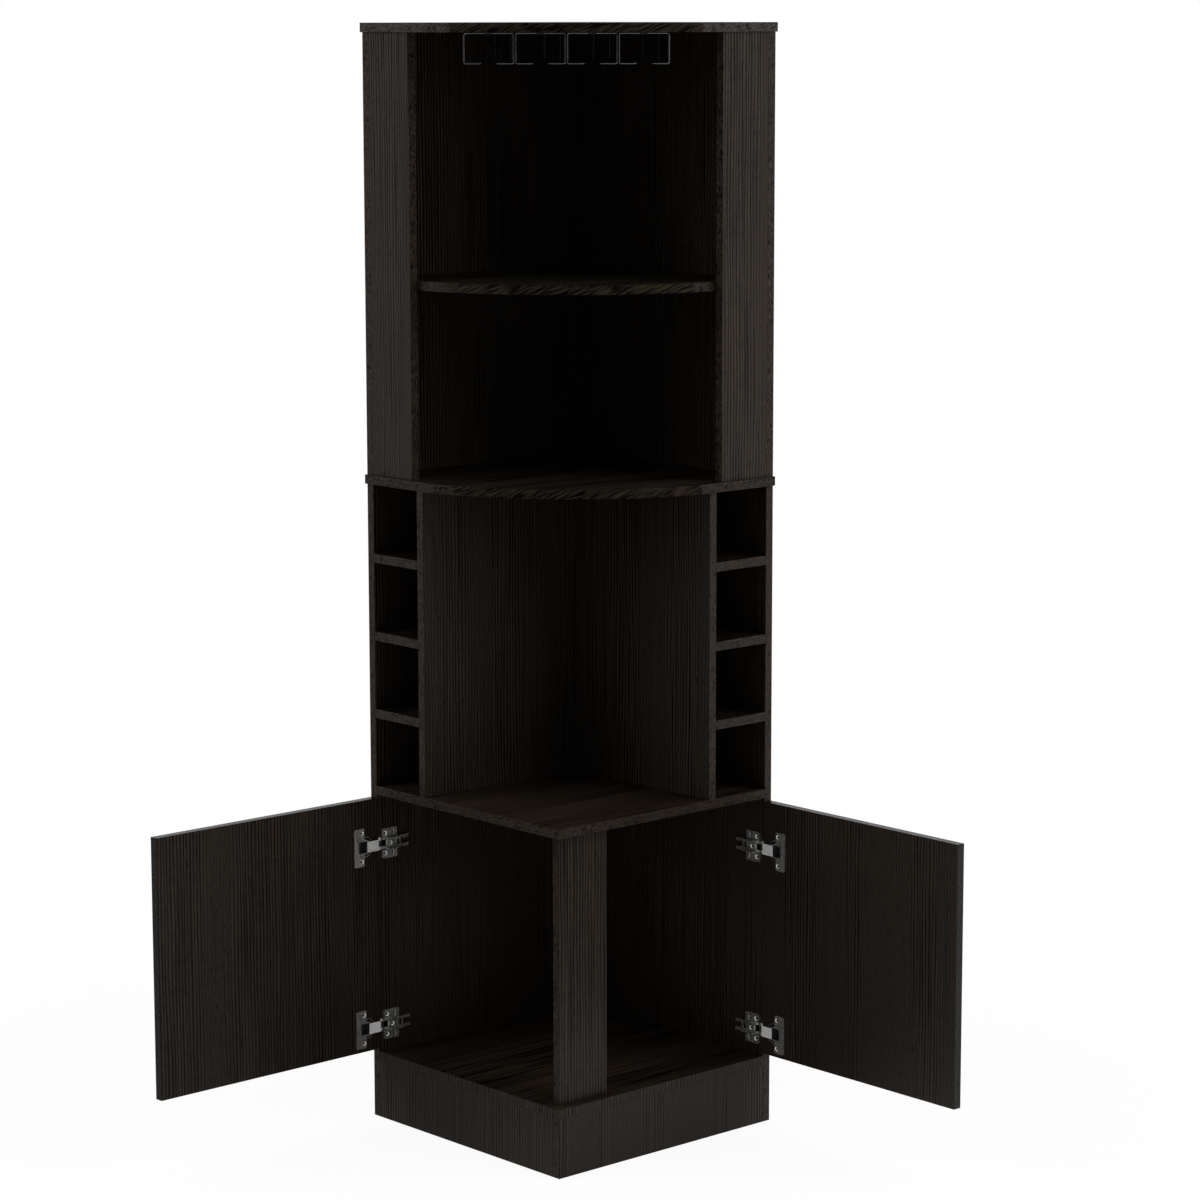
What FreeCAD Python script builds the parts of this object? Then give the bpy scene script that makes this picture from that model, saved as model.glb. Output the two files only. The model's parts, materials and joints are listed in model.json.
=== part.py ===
import FreeCAD, Part
import itertools
import math
import os

# Corner bar cabinet: two doors below, stacked cubbies beside an open niche, an open upper bay
# and a hanging wire rack under the top. All sizes are millimetres.
#
# Boards are laid out in a plan frame: U runs along the left wall and V along the right wall,
# both from the room corner. Finished solids are turned so that the front corner looks along -Y,
# with the origin on the floor at the middle of the square plan.

# Boards and plan
board = 15.0
side = 465.0

# Heights from the floor up
plinth_height = 97.5
door_bay_height = 435.0
niche_height = 499.0
upper_bay_height = 708.5

# Counter, top and upper shelf, with an arc across the front corner
overhang = 5.0
straight_run = 163.0
front_radius = 380.0
shelf_height = 303.5
shelf_fit = 0.5

# Cubbies on both sides of the niche
cubby_width = 111.0
cubby_count = 4

# Stiles of the upper bay and the post behind the front corner
stile_width = 100.0
post_width = 100.0
door_stop_gap = 0.5

# Doors
door_gap = 5.0

# Hinges: the pivot lies in a notch at the front inner corner of the wall
pivot_depth = 5.0
pivot_setback = 8.0
hinge_from_top = 78.5
hinge_from_bottom = 39.0
knuckle_radius = 4.5
knuckle_height = 20.0
middle_knuckle = 10.0
knuckle_gap = 0.3
pin_radius = 2.0
pin_fit = 0.05
pin_head_radius = 3.0
pin_head = 1.0
notch_length = 18.5
swing_clearance = 0.5
seat_clearance = 0.3

# Hinge plates and wall arms, bent from sheet metal
strap = 2.0
plate_thickness = 2.0
plate_length = 31.5
plate_span = 50.5
plate_setback = 9.0
plate_corner = 3.0
wing_screw_inset = 6.5
wing_screw_spread = 34.0
wing_slot_inset = 9.5
wing_slot_length = 6.0
wing_slot_radius = 2.0
wall_arm_length = 43.0
cheek_height = 4.0
cheek_thickness = 1.5
fork_length = 15.5
fork_width = 9.0
fork_bar = 3.0
arm_window_length = 12.0
arm_screw_inset = 5.5

# Hinge cups in the doors, and the arms that reach into them
cup_setback = 26.0
cup_radius = 17.5
cup_depth = 11.0
cup_wall = 1.0
cup_fit = 0.1
flange_thickness = 1.5
flange_length = 20.5
flange_span = 64.0
flange_corner = 2.5
flange_inset = 27.5
neck_length = 10.5
neck_root = 26.0
neck_tip = 20.0
cup_window_length = 18.0
cup_window_height = 19.0
cup_screw_inset = 5.0
cup_screw_spread = 48.0
door_arm_height = 18.0
door_arm_reach = 23.0
door_arm_foot = 10.0
tongue_rise = 4.0

# Hinge screws, with flat heads and a cross recess
hinge_screw_head_radius = 3.5
hinge_screw_radius = 1.75
hinge_screw_bite = 9.0
recess_length = 3.6
recess_width = 0.9
recess_depth = 1.2

# Connecting screws, dowels and shelf pins
screw_head_radius = 5.0
screw_head = 3.0
screw_radius = 3.2
screw_length = 50.0
dowel_radius = 4.0
dowel_length = 30.0
dowel_in_face = 9.0
fastener_fit = 0.05
end_margin = 60.0
edge_margin = 40.0
wall_fixing_count = 3
shelf_fixing_count = 2
shelf_pin_radius = 2.5
shelf_pin_length = 20.0
shelf_pin_in_wall = 10.0

# Wire rack under the top
lane_count = 4
lane_gap = 0.6
rail_spacing = 26.0
wire_radius = 1.2
wire_bend = 3.0
rack_drop = 46.5
rack_setback = 49.0
rack_wall_gap = 11.0
rack_stile_gap = 76.0
rack_side_shift = 5.0
clip_width = 12.0
clip_wall = 1.2
clip_foot = 11.0
clip_fit = 0.1
clip_screw_head_radius = 3.0
clip_screw_head = 1.6
clip_screw_radius = 1.5
clip_screw_bite = 10.0

# Levels and lines that follow from the sizes above
DIAGONAL = math.sqrt(2)
half_plan = side / DIAGONAL
door_bay_z = plinth_height + board
niche_floor_z = door_bay_z + door_bay_height
niche_z = niche_floor_z + board
counter_z = niche_z + niche_height
upper_bay_z = counter_z + board
top_z = upper_bay_z + upper_bay_height
shelf_z = upper_bay_z + shelf_height
inner = side - board
front_line = side + overhang
divider_line = board + cubby_width
cubby_back = divider_line + board
cubby_pitch = (niche_height + board) / cubby_count
cubby_floors = [niche_z + cubby_pitch * step - board for step in range(1, cubby_count)]
door_bottom = door_bay_z + door_gap
door_top = niche_floor_z - door_gap
pivot_along = side - pivot_setback
pivot_across = board - pivot_depth
door_start = pivot_along + board + door_gap - pivot_across
door_face = pivot_across + pivot_along - inner
door_widths = {
    "left": side - board - 2 * door_gap,
    "right": inner - board - 2 * door_gap,
}
hinge_levels = {
    "upper": door_top - hinge_from_top,
    "lower": door_bottom + hinge_from_bottom,
}
notch_line = side - notch_length
notch_height = knuckle_height + 2 * (pin_head + swing_clearance)
plate_front = side - plate_setback
plate_face = board + plate_thickness
arm_front = notch_line - 2 * swing_clearance
arm_face = plate_face + strap
flange_start = door_start + flange_inset
flange_face = door_face + flange_thickness
cup_middle = door_start + cup_setback

HANDS = ("left", "right")
TIERS = {"lower": (0, counter_z), "upper": (upper_bay_z, top_z)}
Vector = FreeCAD.Vector
ORIGIN = Vector(0, 0, 0)
UP = Vector(0, 0, 1)
FRONT_TURN = -135

solids = {}
holes = {}


def turned(shape):
    """Takes a shape from the plan frame to the finished frame."""
    copy = shape.copy()
    copy.rotate(ORIGIN, UP, FRONT_TURN)
    copy.translate(Vector(0, half_plan, 0))
    return copy


def handed(shape, hand):
    """Keeps a left-hand shape, or mirrors it to the right-hand side."""
    if hand == "left":
        return shape
    return shape.mirror(ORIGIN, Vector(1, -1, 0))


def add(node, shape):
    """Adds a plan-frame solid to a node."""
    solids.setdefault(node, []).append(turned(shape))


def bore(node, shape):
    """Takes a plan-frame shape out of a node when the nodes are finished."""
    holes.setdefault(node, []).append(turned(shape))


def slab(u, v, z):
    """A box from its low and high limits on each axis of the plan frame."""
    return Part.makeBox(u[1] - u[0], v[1] - v[0], z[1] - z[0], Vector(u[0], v[0], z[0]))


def prism(outline, low, high):
    """An outline of plan points drawn up from one level to another."""
    points = [Vector(u, v, low) for u, v in outline]
    face = Part.Face(Part.makePolygon(points + points[:1]))
    return face.extrude(UP * (high - low))


def fused(shapes):
    """One clean solid from several that touch or overlap."""
    return shapes[0].multiFuse(shapes[1:]).removeSplitter()


def spread(low, high, count):
    """Evenly spaced places from one limit to another."""
    step = (high - low) / (count - 1)
    return [low + step * place for place in range(count)]


def around(middle, width):
    """Two limits, a width apart, about a middle."""
    return (middle - width / 2, middle + width / 2)


def place(hand, along, across, z):
    """A point given along one wall and across from its outer face."""
    if hand == "left":
        return Vector(along, across, z)
    return Vector(across, along, z)


def across_axis(hand):
    """The direction that leaves the wall of one hand at right angles."""
    return place(hand, 0, 1, 0)


def headed(head_radius, head_length, radius, length, start, axis, extra=0.0):
    """A straight screw whose head starts at a point, grown by extra for its hole."""
    head = Part.makeCylinder(head_radius + extra, head_length, start, axis)
    shank = Part.makeCylinder(radius + extra, length + extra, start, axis)
    return head.fuse(shank)


def connect(start, axis, nodes):
    """A connecting screw, flush at its start, with its hole in each board that it passes."""
    sizes = (screw_head_radius, screw_head, screw_radius, screw_length, start, axis)
    add("connecting_screws", headed(*sizes))
    for node in nodes:
        bore(node, headed(*sizes, extra=fastener_fit))


def peg(joint, axis, face_node, edge_node):
    """A dowel across a joint: a short end in a board's face, a long end in the other's edge."""
    start = joint - axis * dowel_in_face
    add("dowels", Part.makeCylinder(dowel_radius, dowel_length, start, axis))
    for node in (face_node, edge_node):
        bore(node, Part.makeCylinder(dowel_radius + fastener_fit, dowel_length, start, axis))


def arc_middle(front, run, radius):
    """How far from both walls the front arc's middle lies."""
    half_chord = (front - run) / DIAGONAL
    rise = radius - math.sqrt(radius ** 2 - half_chord ** 2)
    return (front + run) / 2 + rise / DIAGONAL


def curved_board(back, front, run, radius, z):
    """A board square at the room corner, with straight front runs and an arc between them."""
    middle = arc_middle(front, run, radius)
    corners = [(back, front), (back, back), (front, back), (front, run)]
    points = [Vector(u, v, z) for u, v in corners]
    arc_end = Vector(run, front, z)
    arc = Part.Arc(points[-1], Vector(middle, middle, z), arc_end).toShape()
    edges = [Part.makePolygon(points), arc, Part.makeLine(arc_end, points[0])]
    return Part.Face(Part.Wire(edges)).extrude(UP * board)


def make_walls():
    """Two walls in two tiers, the left one lapping the right one at the room corner."""
    for tier, levels in TIERS.items():
        for hand in HANDS:
            back = 0 if hand == "left" else board
            node = f"{hand}_{tier}_wall"
            wall = slab((back, side), (0, board), levels)
            add(node, handed(wall, hand))
        for z in spread(levels[0] + end_margin, levels[1] - end_margin, wall_fixing_count):
            start = Vector(board / 2, 0, z)
            connect(start, across_axis("left"), (f"left_{tier}_wall", f"right_{tier}_wall"))


def make_floors():
    """Base floor and niche floor, between the walls and square to the front corner."""
    for node, z in (("base_floor", plinth_height), ("niche_floor", niche_floor_z)):
        add(node, slab((board, side), (board, side), (z, z + board)))
        for hand in HANDS:
            for along in spread(board + end_margin, side - end_margin, wall_fixing_count):
                start = place(hand, along, 0, z + board / 2)
                connect(start, across_axis(hand), (f"{hand}_lower_wall", node))


def make_counter_and_top():
    """Counter on the lower walls and top on the upper walls, with the upper tier pegged down."""
    for node, z, tier in (("counter", counter_z, "lower"), ("top", top_z, "upper")):
        add(node, curved_board(0, front_line, straight_run, front_radius, z))
        for hand in HANDS:
            for along in spread(end_margin, side - end_margin, shelf_fixing_count):
                start = place(hand, along, board / 2, z + board)
                connect(start, -UP, (node, f"{hand}_{tier}_wall"))
    for hand in HANDS:
        margin = end_margin + edge_margin
        for along in spread(margin, side - margin, shelf_fixing_count):
            peg(place(hand, along, board / 2, upper_bay_z), UP, "counter", f"{hand}_upper_wall")


def make_upper_shelf():
    """Curved shelf behind the stiles, on pins in the upper walls."""
    back = board + shelf_fit
    front = inner - shelf_fit
    radius = front_radius - (front_line - front)
    add("upper_shelf", curved_board(back, front, straight_run, radius, shelf_z))
    for hand in HANDS:
        for along in spread(board + end_margin, inner - end_margin, shelf_fixing_count):
            level = shelf_z - shelf_pin_radius
            start = place(hand, along, board - shelf_pin_in_wall, level)
            axis = across_axis(hand)
            add("shelf_pins", Part.makeCylinder(shelf_pin_radius, shelf_pin_length, start, axis))
            hole = Part.makeCylinder(shelf_pin_radius + fastener_fit, shelf_pin_length, start, axis)
            bore(f"{hand}_upper_wall", hole)


def make_stiles():
    """Flat stiles that close the sides of the upper bay, flush with the wall edges."""
    for hand in HANDS:
        node = f"{hand}_stile"
        stile = slab((inner, side), (board, board + stile_width), TIERS["upper"])
        add(node, handed(stile, hand))
        for z in spread(upper_bay_z + end_margin, top_z - end_margin, wall_fixing_count):
            start = place(hand, side - board / 2, 0, z)
            connect(start, across_axis(hand), (f"{hand}_upper_wall", node))


def make_cubbies():
    """Dividers beside the niche, and the cubby shelves between them and the walls."""
    for hand in HANDS:
        divider = f"{hand}_cubby_divider"
        back = divider_line if hand == "left" else cubby_back
        upright = slab((back, side), (divider_line, cubby_back), (niche_z, counter_z))
        add(divider, handed(upright, hand))
        for along in spread(cubby_back + edge_margin, side - edge_margin, wall_fixing_count):
            middle = divider_line + board / 2
            peg(place(hand, along, middle, niche_z), UP, "niche_floor", divider)
            peg(place(hand, along, middle, counter_z), -UP, "counter", divider)
        for step, z in enumerate(cubby_floors, start=1):
            node = f"{hand}_cubby_shelf_{step}"
            shelf = slab((cubby_back, side), (board, divider_line), (z, z + board))
            add(node, handed(shelf, hand))
            for along in spread(cubby_back + end_margin, side - end_margin, shelf_fixing_count):
                middle = z + board / 2
                axis = across_axis(hand)
                connect(place(hand, along, 0, middle), axis, (f"{hand}_lower_wall", node))
                peg(place(hand, along, divider_line, middle), -axis, divider, node)
    for z in spread(niche_z + end_margin, counter_z - end_margin, shelf_fixing_count):
        start = Vector(divider_line + board / 2, divider_line, z)
        connect(start, across_axis("left"), ("left_cubby_divider", "right_cubby_divider"))


def make_corner_post():
    """Post behind the front corner: its end stops the left door, its face the right one."""
    front = inner - door_stop_gap
    levels = (door_bay_z, niche_floor_z)
    add("corner_post", slab((front - post_width, front), (front - board, front), levels))
    for along in spread(front - post_width + board, front - board, shelf_fixing_count):
        peg(Vector(along, front - board / 2, door_bay_z), UP, "base_floor", "corner_post")
        peg(Vector(along, front - board / 2, niche_floor_z), -UP, "niche_floor", "corner_post")


def make_plinth():
    """Plinth boards under the base floor, the right one lapping the left one at the corner."""
    fronts = {"left": inner, "right": side}
    for hand in HANDS:
        node = f"{hand}_plinth"
        panel = slab((inner, side), (board, fronts[hand]), (0, plinth_height))
        add(node, handed(panel, hand))
        middle = side - board / 2
        start = place(hand, middle, 0, plinth_height / 2)
        connect(start, across_axis(hand), (f"{hand}_lower_wall", node))
        for across in spread(board + end_margin, inner - end_margin, wall_fixing_count):
            peg(place(hand, middle, across, plinth_height), -UP, "base_floor", node)
    joint = Vector(side - board / 2, inner, plinth_height / 2)
    peg(joint, -across_axis("left"), "right_plinth", "left_plinth")


def make_doors():
    """Inset doors at rest, open square to the front and in line with the walls."""
    for hand in HANDS:
        along = (door_start, door_start + door_widths[hand])
        leaf = slab(along, (door_face - board, door_face), (door_bottom, door_top))
        add(f"{hand}_door", handed(leaf, hand))


def finger_levels():
    """Levels of the two outer knuckles, about the middle of a hinge."""
    low = middle_knuckle / 2 + knuckle_gap
    high = knuckle_height / 2
    return ((low, high), (-high, -low))


def pivot_rod(radius, levels):
    """A rod on the hinge pivot between two levels."""
    start = Vector(pivot_along, pivot_across, levels[0])
    return Part.makeCylinder(radius, levels[1] - levels[0], start)


def pin_bore():
    """The bore of the knuckles, a running fit on the pin."""
    return pivot_rod(pin_radius + pin_fit, around(0, 2 * knuckle_height))


def slot(along, z, length, radius, across):
    """An upright slot through sheet metal, square to the wall."""
    shapes = [slab(around(along, 2 * radius), across, around(z, length))]
    for end in around(z, length):
        start = Vector(along, across[0], end)
        shapes.append(Part.makeCylinder(radius, across[1] - across[0], start, across_axis("left")))
    return fused(shapes)


def sheet(outline, across):
    """An outline of points along the wall and up, as a sheet between two lines across from it."""
    points = [Vector(along, across[0], z) for along, z in outline]
    face = Part.Face(Part.makePolygon(points + points[:1]))
    return face.extrude(across_axis("left") * (across[1] - across[0]))


def rounded_sheet(along, across, height, corner):
    """An upright sheet about level zero with its four corners rounded."""
    plain = slab(along, across, around(0, height))
    corners = [edge for edge in plain.Edges if edge.BoundBox.YLength > edge.BoundBox.DiagonalLength / 2]
    return plain.makeFillet(corner, corners)


def hinge_plate():
    """Plate on the wall, cut back at the notch, with a slot behind the screw of each wing."""
    across = (board, plate_face)
    back = plate_front - plate_length
    plate = rounded_sheet((back, plate_front), across, plate_span, plate_corner)
    plate = plate.cut(slab((notch_line, plate_front), across, around(0, notch_height)))
    for z in around(0, wing_screw_spread):
        plate = plate.cut(slot(back + wing_slot_inset, z, wing_slot_length, wing_slot_radius, across))
    return plate


def hinge_wall_arm():
    """Forked channel on the plate that reaches into the notch with the two outer knuckles."""
    base = (plate_face, arm_face)
    finger = (pivot_across + knuckle_radius - strap, pivot_across + knuckle_radius)
    riser_start = notch_line + seat_clearance
    riser = (riser_start, riser_start + strap)
    back = arm_front - wall_arm_length
    window = back + fork_length + fork_bar
    shapes = [slab((back, arm_front), base, around(0, knuckle_height))]
    cheek_run = (window, arm_front - 2 * swing_clearance)
    cheek = (arm_face, arm_face + cheek_height)
    for outside in around(0, knuckle_height - cheek_thickness):
        shapes.append(slab(cheek_run, cheek, around(outside, cheek_thickness)))
    for levels in finger_levels():
        shapes.append(slab((arm_front, riser[1]), base, levels))
        shapes.append(slab(riser, (finger[0], base[1]), levels))
        shapes.append(slab((riser[0], pivot_along), finger, levels))
        shapes.append(pivot_rod(knuckle_radius, levels))
    fork = slab((back, back + fork_length), base, around(0, fork_width))
    opening = slab((window, window + arm_window_length), base, around(0, fork_width))
    return fused(shapes).cut(fork).cut(opening).cut(pin_bore())


def hinge_cup():
    """Cup let into the door under a screw flange, whose neck leaves a window for the arm."""
    axis = across_axis("left")
    floor = Vector(cup_middle, door_face - cup_depth, 0)
    inside = cup_radius - cup_fit - cup_wall
    cup = Part.makeCylinder(cup_radius - cup_fit, cup_depth, floor, axis)
    hollow = Part.makeCylinder(inside, cup_depth, floor + axis * cup_wall, axis)
    across = (door_face, flange_face)
    flange = rounded_sheet((flange_start, flange_start + flange_length), across, flange_span, flange_corner)
    neck_end = flange_start - neck_length
    neck = [
        (flange_start, neck_root / 2),
        (flange_start, -neck_root / 2),
        (neck_end, -neck_tip / 2),
        (neck_end, neck_tip / 2),
    ]
    window_start = door_start + door_arm_reach - strap - swing_clearance
    window = slab((window_start, window_start + cup_window_length), across, around(0, cup_window_height))
    cover = fused([flange, sheet(neck, across)]).cut(window)
    return fused([cup.cut(hollow), cover])


def hinge_door_arm():
    """Arm from the middle knuckle, over the neck of the flange, to a foot on the cup's floor."""
    tongue_levels = around(0, middle_knuckle)
    arm_levels = around(0, door_arm_height)
    crown = pivot_across + knuckle_radius
    under = flange_face
    over = under + strap
    bend = pivot_along + tongue_rise
    slope = over - crown
    thickening = strap * (DIAGONAL - 1)
    wide_start = pivot_along + arm_face - pivot_across + swing_clearance
    leg = door_start + door_arm_reach
    cup_floor = door_face - cup_depth + cup_wall
    tongue = [
        (pivot_along, crown),
        (bend, crown),
        (bend + slope, over),
        (wide_start + strap, over),
        (wide_start + strap, under),
        (bend + slope + thickening, under),
        (bend + thickening, crown - strap),
        (pivot_along, crown - strap),
    ]
    arm = [
        (wide_start, over),
        (leg, over),
        (leg, cup_floor),
        (leg - door_arm_foot, cup_floor),
        (leg - door_arm_foot, cup_floor + strap),
        (leg - strap, cup_floor + strap),
        (leg - strap, under),
        (wide_start, under),
    ]
    knuckle = pivot_rod(knuckle_radius, tongue_levels)
    shapes = [knuckle, prism(tongue, *tongue_levels), prism(arm, *arm_levels)]
    return fused(shapes).cut(pin_bore())


def hinge_pin():
    """Headed pin through the three knuckles."""
    half = knuckle_height / 2
    shank = pivot_rod(pin_radius, (-half, half))
    upper_head = pivot_rod(pin_head_radius, (half, half + pin_head))
    lower_head = pivot_rod(pin_head_radius, (-half - pin_head, -half))
    return fused([shank, upper_head, lower_head])


def hinge_notch():
    """Notch at the front inner corner of the wall, clear of the knuckles and the door arm."""
    depth = pivot_depth + knuckle_radius + swing_clearance
    return slab((notch_line, side), (board - depth, board), around(0, notch_height))


def flat_headed(along, seat, z, length, extra=0.0):
    """A screw driven towards the wall with its head flush at a seat, grown by extra for its hole."""
    start = Vector(along, seat, z)
    axis = -across_axis("left")
    head_depth = hinge_screw_head_radius - hinge_screw_radius
    head = Part.makeCone(hinge_screw_head_radius + extra, hinge_screw_radius + extra, head_depth, start, axis)
    shank = Part.makeCylinder(hinge_screw_radius + extra, length + extra, start, axis)
    return head.fuse(shank)


def hinge_screws(places, seat, thickness):
    """Screws with a cross recess through metal of a thickness, and their holes."""
    length = thickness + hinge_screw_bite
    across = (seat - recess_depth, seat)
    pairs = []
    for along, z in places:
        screw = flat_headed(along, seat, z, length)
        screw = screw.cut(slab(around(along, recess_length), across, around(z, recess_width)))
        screw = screw.cut(slab(around(along, recess_width), across, around(z, recess_length)))
        pairs.append((screw, flat_headed(along, seat, z, length, fastener_fit)))
    return pairs


def hinge_pieces():
    """The pieces of one left-hand hinge by the end of their node names, at level zero."""
    return {
        "plate": hinge_plate(),
        "wall_arm": hinge_wall_arm(),
        "cup": hinge_cup(),
        "door_arm": hinge_door_arm(),
    }


def seated(shape, hand, z):
    """A left-hand hinge shape lifted to its level on the wall of one hand."""
    return handed(shape.translated(UP * z), hand)


def make_hinges():
    """Two hinges on each door, the same on both hands but mirrored."""
    wing_places = [(plate_front - wing_screw_inset, z) for z in around(0, wing_screw_spread)]
    arm_places = [(arm_front - arm_screw_inset, 0)]
    cup_places = [(flange_start + cup_screw_inset, z) for z in around(0, cup_screw_spread)]
    cup_floor = Vector(cup_middle, door_face - cup_depth, 0)
    cup_hole = Part.makeCylinder(cup_radius, cup_depth, cup_floor, across_axis("left"))
    pieces = hinge_pieces()
    wing_screws = hinge_screws(wing_places, plate_face, plate_thickness)
    arm_screws = hinge_screws(arm_places, arm_face, plate_thickness + strap)
    cup_screws = hinge_screws(cup_places, flange_face, flange_thickness)
    for hand, (level, z) in itertools.product(HANDS, hinge_levels.items()):
        wall = f"{hand}_lower_wall"
        door = f"{hand}_door"
        hinge = f"{hand}_{level}_hinge"
        sets = (
            ("hinge_plate_screws", wing_screws, (f"{hinge}_plate", wall)),
            ("hinge_arm_screws", arm_screws, (f"{hinge}_wall_arm", f"{hinge}_plate", wall)),
            (f"{hand}_cup_screws", cup_screws, (f"{hinge}_cup", door)),
        )
        for name, piece in pieces.items():
            add(f"{hinge}_{name}", seated(piece, hand, z))
        add("hinge_pins", seated(hinge_pin(), hand, z))
        bore(wall, seated(hinge_notch(), hand, z))
        bore(door, seated(cup_hole, hand, z))
        for screws_node, pairs, held_nodes in sets:
            for screw, hole in pairs:
                add(screws_node, seated(screw, hand, z))
                for node in held_nodes:
                    bore(node, seated(hole, hand, z))


def bent_wire(corners, bend, radius):
    """A closed loop of round wire, straight between corners that are bent to one radius."""
    arcs = []
    for before, corner, after in zip(corners[-1:] + corners[:-1], corners, corners[1:] + corners[:1]):
        back = (before - corner).normalize()
        ahead = (after - corner).normalize()
        half_angle = back.getAngle(ahead) / 2
        reach = bend / math.tan(half_angle)
        inwards = (back + ahead).normalize() * (bend / math.sin(half_angle) - bend)
        arcs.append((corner + back * reach, corner + inwards, corner + ahead * reach))
    edges = []
    for arc, following in zip(arcs, arcs[1:] + arcs[:1]):
        edges.append(Part.Arc(*arc).toShape())
        edges.append(Part.makeLine(arc[2], following[0]))
    run = arcs[1][0] - arcs[0][2]
    section = Part.Wire(Part.makeCircle(radius, arcs[0][2], run))
    return Part.Wire(edges).makePipeShell([section], True, False)


def rack_clip(x, y):
    """Saddle round a wire under the top, with a screw foot behind it, and the screw."""
    saddle = wire_radius + clip_fit + clip_wall
    axis = Vector(1, 0, 0)
    left = x - clip_width / 2
    wire_z = top_z - wire_radius
    body_drop = 2 * wire_radius + clip_wall
    body = Part.makeBox(clip_width, 2 * saddle, body_drop, Vector(left, y - saddle, top_z - body_drop))
    foot = Part.makeBox(clip_width, clip_foot, clip_wall, Vector(left, y + saddle, top_z - clip_wall))
    groove_radius = wire_radius + clip_fit
    groove = Part.makeCylinder(groove_radius, clip_width, Vector(left, y, wire_z), axis)
    mouth_start = Vector(left, y - groove_radius, wire_z)
    mouth = Part.makeBox(clip_width, 2 * groove_radius, wire_radius, mouth_start)
    start = Vector(x, y + saddle + clip_foot / 2, top_z - clip_wall - clip_screw_head)
    length = clip_screw_head + clip_wall + clip_screw_bite
    sizes = (clip_screw_head_radius, clip_screw_head, clip_screw_radius, length, start, UP)
    screw = headed(*sizes)
    hole = headed(*sizes, extra=fastener_fit)
    clip = fused([body, foot]).cut(groove).cut(mouth).cut(hole)
    return clip, screw, hole


def make_rack():
    """Four open-bottomed wire lanes, clipped under the top at both ends."""
    stile_edge = (inner - board - stile_width) / DIAGONAL
    wall_corner = half_plan - board * DIAGONAL
    lane_pitch = 2 * (stile_edge - rack_stile_gap) / lane_count
    half_lane = (lane_pitch - lane_gap) / 2 - wire_radius
    half_rail = rail_spacing / 2
    middles = spread(*around(rack_side_shift, lane_pitch * (lane_count - 1)), lane_count)
    outer_rail = middles[-1] + half_rail + wire_radius
    front = half_plan - arc_middle(front_line, straight_run, front_radius) * DIAGONAL + rack_setback
    rear = wall_corner - outer_rail - rack_wall_gap * DIAGONAL - wire_radius
    high = top_z - wire_radius
    low = high - rack_drop
    for number, middle in enumerate(middles, start=1):
        half_loop = [
            (half_lane, front, high),
            (half_lane, front, low),
            (half_rail, front, low),
            (half_rail, rear, low),
            (half_rail, rear, high),
        ]
        right = [Vector(middle + x, y, z) for x, y, z in half_loop]
        left = [Vector(middle - x, y, z) for x, y, z in reversed(half_loop)]
        solids[f"glass_rack_lane_{number}"] = [bent_wire(right + left, wire_bend, wire_radius)]
        for y in (front, rear):
            clip, screw, hole = rack_clip(middle, y)
            solids.setdefault("rack_clips", []).append(clip)
            solids.setdefault("rack_screws", []).append(screw)
            holes.setdefault("top", []).append(hole)


def write_nodes():
    """Takes the holes out of the nodes and writes one file per node."""
    os.makedirs("parts", exist_ok=True)
    for node, members in solids.items():
        shape = members[0] if len(members) == 1 else Part.makeCompound(members)
        if node in holes:
            shape = shape.cut(holes[node])
        if not shape.isValid():
            raise ValueError(f"{node} is not a valid solid")
        shape.exportStep(f"parts/{node}.step")
        print(f"{node}: {len(shape.Solids)} solids, {shape.Volume / 1000:.1f} cm3")


make_walls()
make_floors()
make_counter_and_top()
make_upper_shelf()
make_stiles()
make_cubbies()
make_corner_post()
make_plinth()
make_doors()
make_hinges()
make_rack()
write_nodes()
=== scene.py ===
"""Corner bar cabinet in dark laminate: eased boards, nickel hinges, a wire rack, a plain studio.

Lengths are in metres, and angles in radians where nothing else is said.
"""

import json
import logging
import math
import random
from dataclasses import dataclass, field, replace
from enum import Enum
from typing import Any, Optional, Union

import bmesh
import bpy
from mathutils import Matrix, Vector

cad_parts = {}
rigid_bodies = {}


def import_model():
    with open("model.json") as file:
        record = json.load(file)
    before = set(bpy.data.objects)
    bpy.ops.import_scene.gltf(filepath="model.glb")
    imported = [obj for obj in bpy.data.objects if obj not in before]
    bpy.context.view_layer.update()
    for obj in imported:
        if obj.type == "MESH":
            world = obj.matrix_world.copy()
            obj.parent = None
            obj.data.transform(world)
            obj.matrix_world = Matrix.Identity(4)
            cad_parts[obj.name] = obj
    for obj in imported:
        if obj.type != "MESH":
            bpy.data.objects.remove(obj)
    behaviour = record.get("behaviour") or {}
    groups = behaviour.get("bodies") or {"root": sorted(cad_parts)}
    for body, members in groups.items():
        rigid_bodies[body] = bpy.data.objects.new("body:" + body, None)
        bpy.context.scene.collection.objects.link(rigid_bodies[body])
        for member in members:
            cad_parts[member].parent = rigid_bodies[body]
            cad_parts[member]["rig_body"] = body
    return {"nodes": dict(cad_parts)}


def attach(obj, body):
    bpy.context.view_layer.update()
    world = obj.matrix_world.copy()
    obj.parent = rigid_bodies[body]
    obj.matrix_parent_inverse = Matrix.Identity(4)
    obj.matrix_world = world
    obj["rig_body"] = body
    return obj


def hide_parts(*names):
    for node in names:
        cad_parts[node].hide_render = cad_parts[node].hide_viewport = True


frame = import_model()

LOG = logging.getLogger("corner_bar_cabinet")
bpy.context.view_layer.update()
GRAIN_MAP = "grain"
HALF_ROOT = math.sqrt(0.5)
NOISE_MIDDLE = 0.5
WHITE = (1.0, 1.0, 1.0, 1.0)
# The sockets that a Mix node has for colours.
MIX_SHARE, MIX_FIRST, MIX_SECOND, MIX_RESULT = 0, 6, 7, 2

Colour = tuple[float, float, float, float]
Range = tuple[float, float]


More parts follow.
